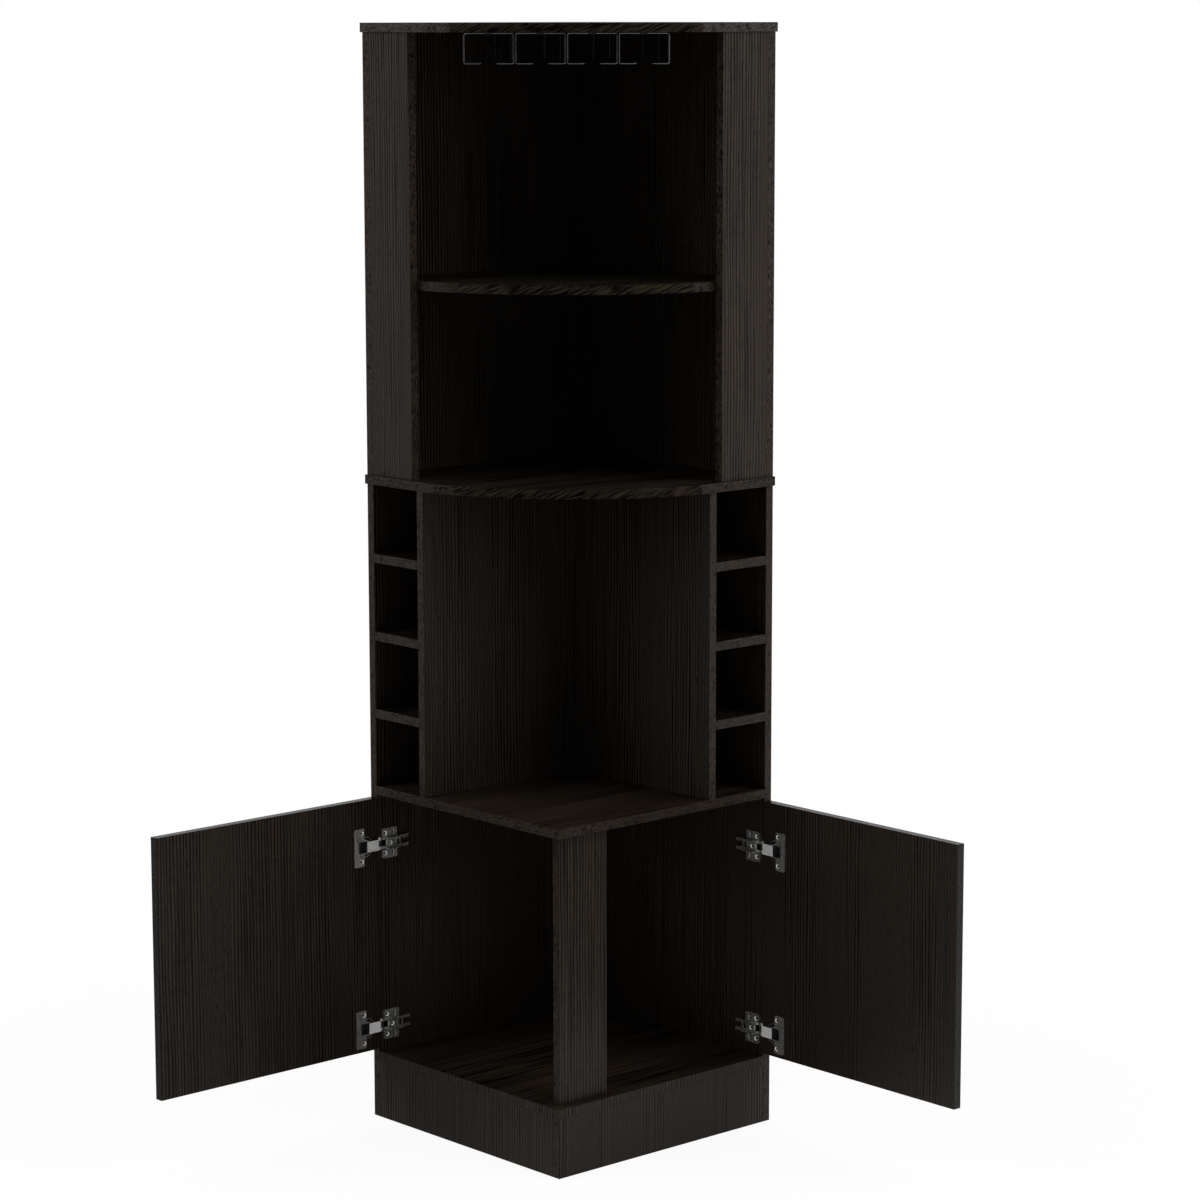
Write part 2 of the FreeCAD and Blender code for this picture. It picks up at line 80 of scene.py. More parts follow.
class Hand(Enum):
    """The two sides of the cabinet, seen from the front."""

    LEFT = "left"
    RIGHT = "right"


class Level(Enum):
    """The two hinges of a door."""

    UPPER = "upper"
    LOWER = "lower"


class Grain(Enum):
    """The ways that a board's grain can run in the room."""

    UPRIGHT = (0.0, 0.0, 1.0)
    LEFT_WALL = (-HALF_ROOT, -HALF_ROOT, 0.0)
    RIGHT_WALL = (HALF_ROOT, -HALF_ROOT, 0.0)

    @property
    def way(self) -> Vector:
        """The grain's direction."""
        return Vector(self.value)


class Side(Enum):
    """The kinds of surface on a board, each with a finish of its own."""

    FACE = 0
    EDGE = 1
    ARC = 2


# The way that the fronts of a hinge look, on the wall and on the open door alike.
HINGE_FRONT = {Hand.LEFT: Grain.RIGHT_WALL, Hand.RIGHT: Grain.LEFT_WALL}


class Value:
    """A shader socket that takes part in Python arithmetic."""

    def __init__(self, graph: "Graph", socket: Optional[bpy.types.NodeSocket]) -> None:
        """Keeps the graph and the output socket that is wrapped."""
        self.graph = graph
        self.socket = socket

    def worked(self, operation: str, first: "Operand", second: "Operand") -> "Value":
        """The result of a new Math node."""
        return self.graph.make("ShaderNodeMath", {"operation": operation}, {0: first, 1: second})

    def __add__(self, other: "Operand") -> "Value":
        """This value plus another."""
        return self.worked("ADD", self, other)

    def __radd__(self, other: "Operand") -> "Value":
        """Another value plus this one."""
        return self.worked("ADD", other, self)

    def __sub__(self, other: "Operand") -> "Value":
        """This value less another."""
        return self.worked("SUBTRACT", self, other)

    def __rsub__(self, other: "Operand") -> "Value":
        """Another value less this one."""
        return self.worked("SUBTRACT", other, self)

    def __mul__(self, other: "Operand") -> "Value":
        """This value times another."""
        return self.worked("MULTIPLY", self, other)

    def __rmul__(self, other: "Operand") -> "Value":
        """Another value times this one."""
        return self.worked("MULTIPLY", other, self)


Operand = Union[Value, float]


class Graph:
    """A node tree that is written as calls and expressions."""

    def __init__(self, tree: bpy.types.NodeTree) -> None:
        """Takes a node tree and empties it."""
        self.tree = tree
        tree.nodes.clear()

    def make(
        self,
        kind: str,
        settings: Optional[dict[str, Any]] = None,
        inputs: Optional[dict[Union[int, str], Any]] = None,
        output: Union[int, str] = 0,
    ) -> Value:
        """Adds a node of any kind.

        Args:
            kind: The node's type.
            settings: Its own properties, set first.
            inputs: Values or links by socket name or number.
            output: The output socket to hand back.

        Returns:
            The wrapped output, which is empty on an end node.
        """
        node = self.tree.nodes.new(kind)
        for name, setting in (settings or {}).items():
            setattr(node, name, setting)
        for key, given in (inputs or {}).items():
            if isinstance(given, Value):
                self.tree.links.new(given.socket, node.inputs[key])
            else:
                node.inputs[key].default_value = given
        return Value(self, node.outputs[output] if node.outputs else None)

    def part(self, vector: Value, axis: str) -> Value:
        """One part of a vector, by the name of its axis."""
        return self.make("ShaderNodeSeparateXYZ", None, {0: vector}, axis)

    def spot(self) -> Value:
        """The spot on a piece in its own coordinates, in metres."""
        return self.make("ShaderNodeTexCoord", None, None, "Object")

    def ray(self, kind: str) -> Value:
        """One for a ray of a kind, such as Camera, and nought for any other."""
        return self.make("ShaderNodeLightPath", None, None, f"Is {kind} Ray")

    def noise(self, place: Value, detail: float) -> Value:
        """Soft noise, one feature for each unit of the place."""
        sockets = {"Vector": place, "Scale": 1.0, "Detail": detail}
        return self.make("ShaderNodeTexNoise", None, sockets)

    def streaks(
        self,
        across: Value,
        along: Value,
        size: tuple[float, float],
        detail: float = 1.0,
        layer: float = 0.0,
    ) -> Value:
        """Adds noise that is drawn out along the grain.

        Args:
            across: The place across the grain.
            along: The place along the grain.
            size: The width and length of one feature.
            detail: How much finer noise is laid over it.
            layer: The depth that it is cut at, so that no two look alike.

        Returns:
            The noise.
        """
        width, length = size
        sockets = {0: across * (1 / width), 1: along * (1 / length), 2: layer}
        return self.noise(self.make("ShaderNodeCombineXYZ", None, sockets), detail)

    def speckle(self, size: float, detail: float = 1.0) -> Value:
        """Adds noise in a piece's own coordinates.

        Args:
            size: The size of one feature.
            detail: How much finer noise is laid over it.

        Returns:
            The noise.
        """
        sockets = {0: self.spot(), "Scale": 1 / size}
        scaled = self.make("ShaderNodeVectorMath", {"operation": "SCALE"}, sockets)
        return self.noise(scaled, detail)

    def spread(
        self, value: Value, low: float, high: float, start: float = 0.0, end: float = 1.0
    ) -> Value:
        """A value's range from low to high, drawn out to run from start to end."""
        ends = {"From Min": low, "From Max": high, "To Min": start, "To Max": end}
        return self.make("ShaderNodeMapRange", {"clamp": True}, {"Value": value, **ends})

    def blend(
        self, share: Value, first: Union[Value, Colour], second: Union[Value, Colour]
    ) -> Value:
        """One colour turning into another by a share."""
        sockets = {MIX_SHARE: share, MIX_FIRST: first, MIX_SECOND: second}
        return self.make("ShaderNodeMix", {"data_type": "RGBA"}, sockets, MIX_RESULT)

    def relief(self, height: Value, depth: float) -> Value:
        """A surface normal from a height, for a relief of a real depth."""
        sockets = {"Height": height, "Distance": depth, "Strength": 1.0}
        return self.make("ShaderNodeBump", None, sockets)

    def surface(self, sockets: dict[str, Any]) -> None:
        """Ends the tree in a principled surface with these sockets."""
        shader = self.make("ShaderNodeBsdfPrincipled", None, sockets)
        self.make("ShaderNodeOutputMaterial", None, {"Surface": shader})


@dataclass(frozen=True)
class Finish:
    """A surface finish whose material is made once and shared."""

    name: str

    def material(self) -> bpy.types.Material:
        """Finds the finish's material, or makes it on first use.

        Returns:
            The material.
        """
        found = bpy.data.materials.get(self.name)
        if found is None:
            found = bpy.data.materials.new(self.name)
            found.use_nodes = True
            self.paint(Graph(found.node_tree))
        return found

    def paint(self, graph: Graph) -> None:
        """Fills the material's tree; each finish has its own."""
        raise NotImplementedError(self.name)


@dataclass(frozen=True)
class LaminateFinish(Finish):
    """Dark wood-grain laminate, whose grain follows the board's own map in metres.

    A cut is the part of a noise or wave, from low to high, that a mask is drawn out from.
    """

    dark: Colour = (0.0016, 0.0010, 0.0006, 1.0)
    light: Colour = (0.0236, 0.0166, 0.0116, 1.0)
    # Thin dark lines: loose ones, and even stripes that stray to and fro.
    line_pitch: float = 0.0026
    line_length: float = 0.26
    line_detail: float = 0.6
    line_cut: Range = (0.36, 0.54)
    line_height: float = 0.6
    stripe_pitch: float = 0.0064
    stripe_cut: Range = (-0.7, 0.15)
    stripe_share: float = 0.6
    stripe_stray: float = 9.0
    stray_stripes: float = 4.0
    stray_layer: float = 5.0
    # Broad bands that darken the wood.
    band_width: float = 0.045
    band_length: float = 1.2
    band_detail: float = 2.0
    band_cut: Range = (0.28, 0.72)
    banding: float = 0.10
    # Zones in which the lines are faint or strong, about a middle tone.
    zone_width: float = 0.07
    zone_length: float = 1.6
    zone_cut: Range = (0.38, 0.62)
    zone_layer: float = 3.0
    calm: float = 0.40
    lively: float = 1.30
    middle: float = 1.0
    # Short open pores.
    pore: Colour = (0.0010, 0.0007, 0.0005, 1.0)
    pore_share: float = 0.8
    pore_width: float = 0.0011
    pore_length: float = 0.022
    pore_cut: Range = (0.62, 0.74)
    pore_layer: float = 7.0
    # The slow sway of the whole grain to each side.
    sway: float = 0.004
    sway_length: float = 0.55
    # The surface, which is matt in the lines.
    smooth: float = 0.30
    matt: float = 0.44
    smooth_from: float = 1.4
    relief: float = 0.0004
    gloss: float = 0.17
    sheen: Colour = (1.0, 0.92, 0.86, 1.0)

    def paint(self, graph: Graph) -> None:
        """Straight thin dark lines, strong in some zones and faint in others, with open pores.

        Args:
            graph: The material's empty tree.
        """
        grain = graph.make("ShaderNodeUVMap", {"uv_map": GRAIN_MAP})
        across = graph.part(grain, "X")
        along = graph.part(grain, "Y")
        bend = graph.streaks(across, along, (self.sway_length, self.sway_length))
        swayed = across + (bend - NOISE_MIDDLE) * (2 * self.sway)

        line_size = (self.line_pitch, self.line_length)
        lines = graph.streaks(swayed, along, line_size, self.line_detail)
        stray_size = (self.stripe_pitch * self.stray_stripes, self.line_length)
        stray = graph.streaks(swayed, along, stray_size, layer=self.stray_layer)
        phase = swayed * (2 * math.pi / self.stripe_pitch) + stray * self.stripe_stray
        wave = graph.make("ShaderNodeMath", {"operation": "SINE"}, {0: phase})
        stripe_tone = graph.spread(wave, *self.stripe_cut)
        loose_tone = graph.spread(lines, *self.line_cut)
        line_tone = stripe_tone * self.stripe_share + loose_tone * (1 - self.stripe_share)

        band_size = (self.band_width, self.band_length)
        bands = graph.streaks(swayed, along, band_size, self.band_detail)
        band_tone = graph.spread(bands, *self.band_cut)
        zone_size = (self.zone_width, self.zone_length)
        zones = graph.streaks(swayed, along, zone_size, layer=self.zone_layer)
        strength = graph.spread(zones, *self.zone_cut, self.calm, self.lively)
        pore_size = (self.pore_width, self.pore_length)
        pores = graph.streaks(swayed, along, pore_size, layer=self.pore_layer)
        pore_mask = graph.spread(pores, *self.pore_cut)

        tone = self.middle + (line_tone - self.middle) * strength - band_tone * self.banding
        wood = graph.blend(tone, self.dark, self.light)
        clear = line_tone + pore_mask
        height = line_tone * strength * self.line_height - pore_mask
        graph.surface({
            "Base Color": graph.blend(pore_mask * self.pore_share, wood, self.pore),
            "Roughness": graph.spread(clear, 0.0, self.smooth_from, self.matt, self.smooth),
            "Normal": graph.relief(height, self.relief),
            "Specular IOR Level": self.gloss,
            "Specular Tint": self.sheen,
        })


@dataclass(frozen=True)
class MetalFinish(Finish):
    """Plated or bare metal with faint rubbing marks."""

    bright: Colour = (0.62, 0.61, 0.59, 1.0)
    dull: Colour = (0.55, 0.54, 0.52, 1.0)
    metal: float = 0.85
    smooth: float = 0.20
    rough: float = 0.34
    mark_size: float = 0.018
    mark_share: float = 0.85
    fleck_size: float = 0.0006
    wear_cut: Range = (0.34, 0.66)

    def paint(self, graph: Graph) -> None:
        """Cloudy plating with fine flecks, brighter where it is smoother.

        Args:
            graph: The material's empty tree.
        """
        marks = graph.speckle(self.mark_size) * self.mark_share
        flecks = graph.speckle(self.fleck_size) * (1 - self.mark_share)
        wear = graph.spread(marks + flecks, *self.wear_cut)
        graph.surface({
            "Base Color": graph.blend(wear, self.bright, self.dull),
            "Roughness": graph.spread(wear, 0.0, 1.0, self.smooth, self.rough),
            "Metallic": self.metal,
        })


@dataclass(frozen=True)
class DowelFinish(Finish):
    """Pale turned beech."""

    pale: Colour = (0.56, 0.38, 0.22, 1.0)
    deep: Colour = (0.42, 0.26, 0.13, 1.0)
    smooth: float = 0.55
    rough: float = 0.7
    fleck_size: float = 0.0012
    fleck_detail: float = 2.0
    fleck_cut: Range = (0.35, 0.65)

    def paint(self, graph: Graph) -> None:
        """Small flecks over a pale ground.

        Args:
            graph: The material's empty tree.
        """
        fleck = graph.spread(graph.speckle(self.fleck_size, self.fleck_detail), *self.fleck_cut)
        graph.surface({
            "Base Color": graph.blend(fleck, self.pale, self.deep),
            "Roughness": graph.spread(fleck, 0.0, 1.0, self.smooth, self.rough),
        })


@dataclass(frozen=True)
class FloorFinish(Finish):
    """White studio floor that keeps a soft shadow and runs out into the white surround."""

    pale: Colour = (0.90, 0.90, 0.90, 1.0)
    paler: Colour = (0.93, 0.93, 0.93, 1.0)
    speckle_size: float = 0.02
    speckle_detail: float = 2.0
    # How much plain white covers the floor near the cabinet, and over which reach it grows full.
    lift: float = 0.94
    fade_cut: Range = (0.9, 2.2)
    # The tones that glossy pieces mirror, and over which stretch one turns into the other.
    mirrored_left: Colour = (0.30, 0.30, 0.30, 1.0)
    mirrored_right: Colour = (0.80, 0.80, 0.80, 1.0)
    mirrored_cut: Range = (-0.5, 0.5)

    def paint(self, graph: Graph) -> None:
        """Pale near the cabinet, plain white far from it.

        Args:
            graph: The material's empty tree.
        """
        speckle = graph.speckle(self.speckle_size, self.speckle_detail)
        ground = graph.blend(speckle, self.pale, self.paler)
        lit = graph.make("ShaderNodeBsdfDiffuse", None, {"Color": ground})

        spot = graph.spot()
        mirrored = graph.ray("Glossy")
        aside = graph.spread(graph.part(spot, "X"), *self.mirrored_cut)
        dimmed = graph.blend(aside, self.mirrored_left, self.mirrored_right)
        white = graph.blend(mirrored, WHITE, dimmed)
        plain = graph.make("ShaderNodeEmission", None, {"Color": white})

        reach = graph.make("ShaderNodeVectorMath", {"operation": "LENGTH"}, {0: spot}, "Value")
        fade = graph.spread(reach, *self.fade_cut, self.lift, 1.0)
        seen = graph.ray("Camera") + mirrored + graph.ray("Transmission")
        share = fade * graph.spread(seen, 0.0, 1.0)
        mixed = graph.make("ShaderNodeMixShader", None, {0: share, 1: lit, 2: plain})
        graph.make("ShaderNodeOutputMaterial", None, {"Surface": mixed})


BOARD_FACE = LaminateFinish(
    "board_laminate",
    light=(0.0256, 0.0194, 0.0146, 1.0),
    calm=0.22, lively=1.75, middle=0.66,
)
SHELF_FACE = LaminateFinish(
    "shelf_laminate",
    light=(0.0205, 0.0165, 0.0124, 1.0),
    line_pitch=0.0036, line_length=0.22, stripe_share=0.4,
    band_width=0.010, band_length=0.40, banding=0.50,
)
NICHE_FACE = replace(
    SHELF_FACE, name="niche_floor_laminate", light=(0.0201, 0.0140, 0.0097, 1.0), banding=0.20,
)
# A copy of the shelf laminate for the base floor: its banding is the wood's own, and its lighter
# tone is painted light.
BASE_FACE = replace(
    SHELF_FACE, name="lit_base_floor_laminate", light=(0.0315, 0.0224, 0.0158, 1.0), banding=0.32,
)
# Painted shade: a darker copy of the shelf laminate for the shelves deep in the cubbies.
CUBBY_FACE = replace(
    SHELF_FACE, name="shaded_cubby_laminate", light=(0.0120, 0.0088, 0.0066, 1.0),
)
EDGE_BAND = LaminateFinish(
    "edge_band",
    dark=(0.0020, 0.0013, 0.0009, 1.0),
    light=(0.0275, 0.0202, 0.0150, 1.0),
    line_pitch=0.0014, line_length=0.010, line_cut=(0.41, 0.58), stripe_share=0.0,
    zone_width=0.02, zone_length=0.03, calm=0.6, lively=1.1,
    pore_length=0.006,
)
TOP_EDGE_BAND = replace(
    EDGE_BAND,
    name="top_edge_band",
    dark=(0.0060, 0.0054, 0.0049, 1.0),
    light=(0.0390, 0.0352, 0.0324, 1.0),
)
DOOR_EDGE_BAND = replace(
    EDGE_BAND,
    name="door_edge_band",
    dark=(0.0010, 0.0009, 0.0007, 1.0),
    light=(0.0080, 0.0073, 0.0066, 1.0),
    smooth=0.08, matt=0.15, gloss=0.20, sheen=WHITE,
)
ARC_BAND = LaminateFinish(
    "streaked_arc_band",
    light=(0.0235, 0.0175, 0.0112, 1.0),
    line_pitch=0.0022, line_length=0.030, line_cut=(0.42, 0.59), stripe_share=0.0,
    zone_width=0.03, zone_length=0.05, calm=0.8, lively=1.2,
    pore_length=0.006, sway_length=0.024,
    smooth=0.42, matt=0.56, gloss=0.1,
)
NICKEL = MetalFinish("hinge_nickel_plate")
# Painted shade: darker copies of the hinge nickel for the wall plate and the wall arm.
PLATE_NICKEL = MetalFinish(
    "shaded_plate_nickel", bright=(0.52, 0.51, 0.50, 1.0), dull=(0.44, 0.43, 0.42, 1.0),
)
WALL_ARM_NICKEL = MetalFinish(
    "shaded_wall_arm_nickel", bright=(0.46, 0.45, 0.43, 1.0), dull=(0.40, 0.39, 0.37, 1.0),
)
# Painted highlight: the door arm's nickel is a near-white copy of the hinge nickel, where the arm
# catches the light.
ARM_NICKEL = MetalFinish(
    "painted_highlight_arm_nickel", bright=(0.92, 0.91, 0.90, 1.0), dull=(0.87, 0.86, 0.84, 1.0), metal=0.3,
)
# Painted highlight: near-white walls and countersinks of the hinges' screw holes, for the light
# that they catch.
HOLE_HIGHLIGHT = MetalFinish(
    "painted_highlight_hole_edge", bright=(0.94, 0.93, 0.92, 1.0), dull=(0.88, 0.87, 0.85, 1.0), metal=0.1,
)
# Painted shade: a near-black copy of the nickel for the faces deep in the cups and behind the door
# arms' fronts, where shade falls.
CUP_SHADE = MetalFinish(
    "painted_shade_cup_inside", bright=(0.050, 0.050, 0.050, 1.0), dull=(0.028, 0.028, 0.028, 1.0),
    metal=0.3, smooth=0.42, rough=0.60,
)
# Painted shade: the sunk heads of the hinge screws are painted near-black, for the shade that
# falls in their holes.
SHADED_HEAD = replace(CUP_SHADE, name="painted_shade_hinge_screw", metal=0.8, smooth=0.35, rough=0.50)
SCREW_STEEL = MetalFinish(
    "dark_screw_steel", bright=(0.30, 0.29, 0.28, 1.0), dull=(0.14, 0.135, 0.13, 1.0),
    metal=1.0, smooth=0.28, rough=0.45,
)
RACK_CHROME = MetalFinish(
    "rack_wire_chrome", bright=(0.36, 0.36, 0.36, 1.0), dull=(0.28, 0.28, 0.28, 1.0), metal=1.0,
)
BEECH = DowelFinish("beech_dowel")
FLOOR = FloorFinish("studio_floor")


def body_of(node: str) -> str:
    """The name of the body that a CAD node rides on."""
    return frame["nodes"][node]["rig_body"]


def node_slot(node: str) -> str:
    """The record's material slot of a CAD node, which its packed material is named for."""
    return frame["nodes"][node].data.materials[0].name


def paint_node(node: str, finish: Finish) -> None:
    """Gives a CAD node that stays in view a finish.

    Args:
        node: The node's name.
        finish: What it is finished in.
    """
    slots = frame["nodes"][node].data.materials
    slots.clear()
    slots.append(finish.material())
    LOG.info("%s keeps its CAD shape, in %s", node, finish.name)


@dataclass
class EasedCopy:
    """A copy of a CAD node with its flat faces whole again and its sharp edges eased.

    Vertices closer than merge, or after the easing than sliver, become one.
    """

    node: str
    easing: float = 0.0
    shortest: float = 0.0
    merge: float = 1e-6
    sliver: float = 5e-6
    flat: float = math.radians(0.5)
    sharp: float = math.radians(40)
    crease: float = math.radians(15)
    segments: int = 2

    def merged(self) -> bmesh.types.BMesh:
        """Merges the node's loose triangles and makes its flat faces whole.

        Returns:
            The new mesh, in the frame's own place.
        """
        mesh = bmesh.new()
        mesh.from_mesh(frame["nodes"][self.node].data)
        bmesh.ops.remove_doubles(mesh, verts=mesh.verts, dist=self.merge)
        bmesh.ops.dissolve_limit(
            mesh, angle_limit=self.flat, verts=mesh.verts, edges=mesh.edges,
        )
        return mesh

    def shaped(self) -> bmesh.types.BMesh:
        """Eases the node's long sharp edges.

        Returns:
            The new mesh, in the frame's own place.
        """
        mesh = self.merged()
        edges = [edge for edge in mesh.edges if self.is_eased(edge)]
        bmesh.ops.bevel(
            mesh, geom=edges, offset=self.easing, offset_type="OFFSET", affect="EDGES",
            segments=self.segments, profile=0.5, material=-1, clamp_overlap=True, loop_slide=False,
        )
        bmesh.ops.remove_doubles(mesh, verts=mesh.verts, dist=self.sliver)
        bmesh.ops.dissolve_degenerate(mesh, dist=self.merge, edges=mesh.edges)
        return mesh

    def is_eased(self, edge: bmesh.types.BMEdge) -> bool:
        """True for a long sharp outer edge."""
        outer = edge.is_manifold and edge.calc_face_angle_signed() > self.sharp
        return outer and edge.calc_length() > self.shortest

    def finished(self, mesh: bmesh.types.BMesh, finishes: list[Finish]) -> bpy.types.Object:
        """Makes the piece that stands for the node.

        Args:
            mesh: The shaped mesh, which is used up.
            finishes: The finishes by the number that its faces hold.

        Returns:
            The piece, riding on the node's body.
        """
        data = bpy.data.meshes.new(f"{self.node}_eased")
        mesh.to_mesh(data)
        mesh.free()
        for finish in finishes:
            data.materials.append(finish.material())
        data.shade_smooth()
        data.set_sharp_from_angle(angle=self.crease)
        piece = bpy.data.objects.new(f"{self.node}_eased", data)
        bpy.context.scene.collection.objects.link(piece)
        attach(piece, body_of(self.node))
        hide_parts(self.node)
        node_slot(self.node)
        names = ", ".join(finish.name for finish in finishes)
        LOG.info("%s: %d faces, in %s", piece.name, len(data.polygons), names)
        return piece


@dataclass
class Board:
    """One laminated board: grain on its faces, an edge band round its edges.

    The normal of a broad face runs through the board by more than facing. On a curved board, an
    edge whose normal runs along a wall by less than straight is part of the arc.
    """

    node: str
    grain: Grain
    face_finish: Finish = BOARD_FACE
    edge_finish: Finish = EDGE_BAND
    curved: bool = False
    edge_upright: bool = False
    easing: float = 0.0004
    shortest: float = 0.012
    facing: float = 0.9
    straight: dict[Hand, float] = field(
        default_factory=lambda: {Hand.LEFT: 0.96, Hand.RIGHT: 0.985}
    )
    slant: float = math.radians(24)
    stray: float = 3.0

    def build(self) -> bpy.types.Object:
        """Eases the board and lays its grain map.

        Returns:
            The finished board.
        """
        copy = EasedCopy(self.node, self.easing, self.shortest)
        mesh = copy.shaped()
        self.lay_grain(mesh)
        finishes = [self.face_finish, self.edge_finish]
        if self.curved:
            finishes.append(ARC_BAND)
        return copy.finished(mesh, finishes)

    def thickness_way(self, mesh: bmesh.types.BMesh) -> Vector:
        """Finds the direction in which the board is thinnest.

        Args:
            mesh: The board's mesh.

        Returns:
            The direction, as one of the grain's ways.
        """
        ways = [grain.way for grain in Grain]
        depths = []
        for way in ways:
            reaches = [vertex.co.dot(way) for vertex in mesh.verts]
            depths.append(max(reaches) - min(reaches))
        return ways[depths.index(min(depths))]

    def lay_grain(self, mesh: bmesh.types.BMesh) -> None:
        """Writes each face's finish and its grain map in metres, shifted for each board.

        Args:
            mesh: The board's mesh.
        """
        thick = self.thickness_way(mesh)
        chance = random.Random(self.node)
        shift = Vector((chance.uniform(0, self.stray), chance.uniform(0, self.stray)))
        layer = mesh.loops.layers.uv.new(GRAIN_MAP)
        for face in mesh.faces:
            side = self.side_of(face, thick)
            face.material_index = side.value
            across, along = self.map_ways(side, face, thick)
            for loop in face.loops:
                place = loop.vert.co
                loop[layer].uv = Vector((place.dot(across), place.dot(along))) + shift

    def side_of(self, face: bmesh.types.BMFace, thick: Vector) -> Side:
        """Tells the board's broad faces, straight edges and arc apart.

        Args:
            face: A face of the board's mesh.
            thick: The way through the board.

        Returns:
            The kind of surface.
        """
        through = face.normal.dot(thick)
        if abs(through) > self.facing:
            return Side.FACE
        outwards = (face.normal - thick * through).normalized()
        squareness = max(abs(outwards.dot(grain.way)) for grain in Grain)
        hand = Hand.LEFT if outwards.x < 0 else Hand.RIGHT
        return Side.ARC if self.curved and squareness < self.straight[hand] else Side.EDGE

    def map_ways(
        self, side: Side, face: bmesh.types.BMFace, thick: Vector
    ) -> tuple[Vector, Vector]:
        """Finds the grain map's ways: along the board's face, or slanted along its edges.

        Args:
            side: The kind of surface.
            face: The face to map.
            thick: The way through the board.

        Returns:
            The ways across and along the grain.
        """
        if side is Side.FACE:
            return thick.cross(self.grain.way), self.grain.way
        edge = thick.cross(face.normal).normalized()
        if side is Side.ARC:
            # One way for all its faces, so that the streaks run on from one to the next.
            edge = Vector((1.0, 0.0, 0.0))
        elif self.edge_upright:
            return edge, thick
        along = edge * math.cos(self.slant) + thick * math.sin(self.slant)
        return thick * math.cos(self.slant) - edge * math.sin(self.slant), along


@dataclass
class Carcass:
    """Walls, floors, curved boards, stiles, post and plinth."""

    upright: tuple[str, ...] = ("lower_wall", "upper_wall", "stile", "plinth")
    curved: tuple[str, ...] = ("counter", "upper_shelf")

    def build(self) -> list[bpy.types.Object]:
        """Makes every fixed board outside the cubbies.

        Returns:
            The finished boards.
        """
        sided = [f"{hand.value}_{name}" for name in self.upright for hand in Hand]
        flat = Grain.LEFT_WALL
        boards = [Board(name, Grain.UPRIGHT) for name in sided + ["corner_post"]]
        boards.append(Board("base_floor", flat, BASE_FACE, BOARD_FACE, edge_upright=True))
        boards.append(Board("niche_floor", flat, NICHE_FACE))
        boards += [Board(name, flat, SHELF_FACE, curved=True) for name in self.curved]
        boards.append(Board("top", flat, SHELF_FACE, TOP_EDGE_BAND, curved=True))
        return [board.build() for board in boards]


@dataclass
class Cubbies:
    """The dividers beside the niche and the small shelves between them and the walls."""

    shelf_count: int = 3
    ways: dict[Hand, Grain] = field(
        default_factory=lambda: {Hand.LEFT: Grain.LEFT_WALL, Hand.RIGHT: Grain.RIGHT_WALL}
    )

    def build(self) -> list[bpy.types.Object]:
        """Makes both columns of cubbies.

        Returns:
            The finished dividers and shelves.
        """
        boards = []
        for hand, way in self.ways.items():
            boards.append(Board(f"{hand.value}_cubby_divider", Grain.UPRIGHT))
            for step in range(1, self.shelf_count + 1):
                boards.append(Board(f"{hand.value}_cubby_shelf_{step}", way, CUBBY_FACE))
        return [board.build() for board in boards]


@dataclass
class HingeScrews:
    """A set of hinge screws, whose heads sit deep in their countersinks and are painted near-black
    as painted shade.

    A head's cone has a right angle at its apex, so that cone and throat, the heights of its top
    and its neck over the apex, are also the radii there.
    """

    node: str
    cone: float = 0.0035
    throat: float = 0.00175
    kept: float = 0.2
    near: float = 2e-5
    crease: float = math.radians(40)

    def drawn(self, height: float) -> float:
        """How high over the apex a height on the cone comes to lie."""
        return self.throat + (height - self.throat) * self.kept

    def build(self) -> bpy.types.Object:
        """Sinks the head of each screw, and paints the heads near-black as painted shade.

        Returns:
            The finished screws.
        """
        copy = EasedCopy(self.node, crease=self.crease)
        mesh = copy.merged()
        done = set()
        for start in mesh.verts:
            if start not in done:
                screw = self.joined(start)
                done.update(screw)
                self.sink_head(screw)
        return copy.finished(mesh, [SHADED_HEAD])

    def joined(self, start: bmesh.types.BMVert) -> list[bmesh.types.BMVert]:
        """Finds the screw that a vertex is part of.

        Args:
            start: Any vertex of the screw.

        Returns:
            All the screw's vertices.
        """
        found = [start]
        known = {start}
        for vertex in found:
            for edge in vertex.link_edges:
                other = edge.other_vert(vertex)
                if other not in known:
                    known.add(other)
                    found.append(other)
        return found

    def sink_head(self, screw: list[bmesh.types.BMVert]) -> None:
        """Draws a screw's head down its own cone, and its recess with it.

        Args:
            screw: The vertices of one screw.
        """
        hand = Hand.LEFT if screw[0].co.x < 0 else Hand.RIGHT
        way = HINGE_FRONT[hand].way
        seat = max(vertex.co.dot(way) for vertex in screw)
        rim = [vertex.co for vertex in screw if vertex.co.dot(way) > seat - self.near]
        apex = sum(rim, Vector()) / len(rim) - way * self.cone
        for vertex in screw:
            arm = vertex.co - apex
            height = arm.dot(way)
            if height > self.throat + self.near:
                on_cone = abs((arm - way * height).length - height) < self.near
                level = height if on_cone else self.cone
                vertex.co = apex + arm * (self.drawn(level) / level)


@dataclass
class Door:
    """One inset door with the screws of its hinge cups."""

    hand: Hand

    def build(self) -> bpy.types.Object:
        """Makes the door's leaf."""
        name = f"{self.hand.value}_door"
        return Board(name, Grain.UPRIGHT, edge_finish=DOOR_EDGE_BAND).build()

    def dress(self) -> None:
        """Makes the cup screws."""
        HingeScrews(f"{self.hand.value}_cup_screws").build()


